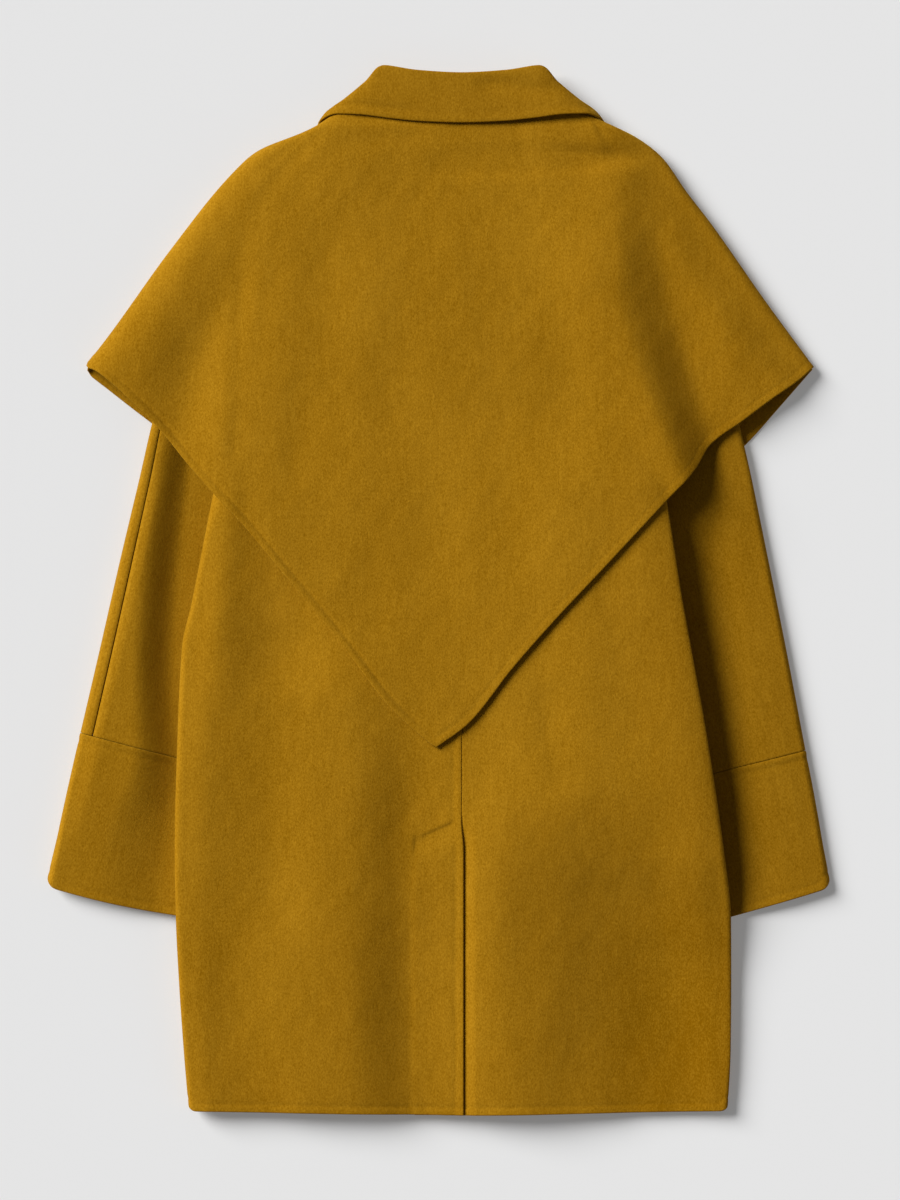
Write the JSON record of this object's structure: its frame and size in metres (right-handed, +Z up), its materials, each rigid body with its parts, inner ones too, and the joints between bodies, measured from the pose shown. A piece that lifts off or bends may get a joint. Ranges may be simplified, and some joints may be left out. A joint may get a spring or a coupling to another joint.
{
  "type": "wool coat",
  "caption": "Long wool coat laid flat with its back up: fold-over collar, large pointed cape over the shoulders, deep flared cuffs and a lapped vent in the back hem.",
  "frame": {"origin": "centre of the coat's footprint, on the surface it lies on", "axes": "+X across the coat, to the right as its back is seen with the collar at the top; +Y from the hem to the collar; +Z up, out of the back of the coat"},
  "size_m": [0.784, 1.0502, 0.0442],
  "materials": {
    "wool": "matte"
  },
  "bodies": {
    "root": {"back_left": "wool", "back_right": "wool", "front_left": "wool", "front_right": "wool", "sleeve_left_back": "wool", "sleeve_left_front": "wool", "sleeve_right_back": "wool", "sleeve_right_front": "wool", "cuff_left": "wool", "cuff_right": "wool", "collar": "wool", "cape_back": "wool", "cape_front_left": "wool", "cape_front_right": "wool"}
  },
  "joints": []
}
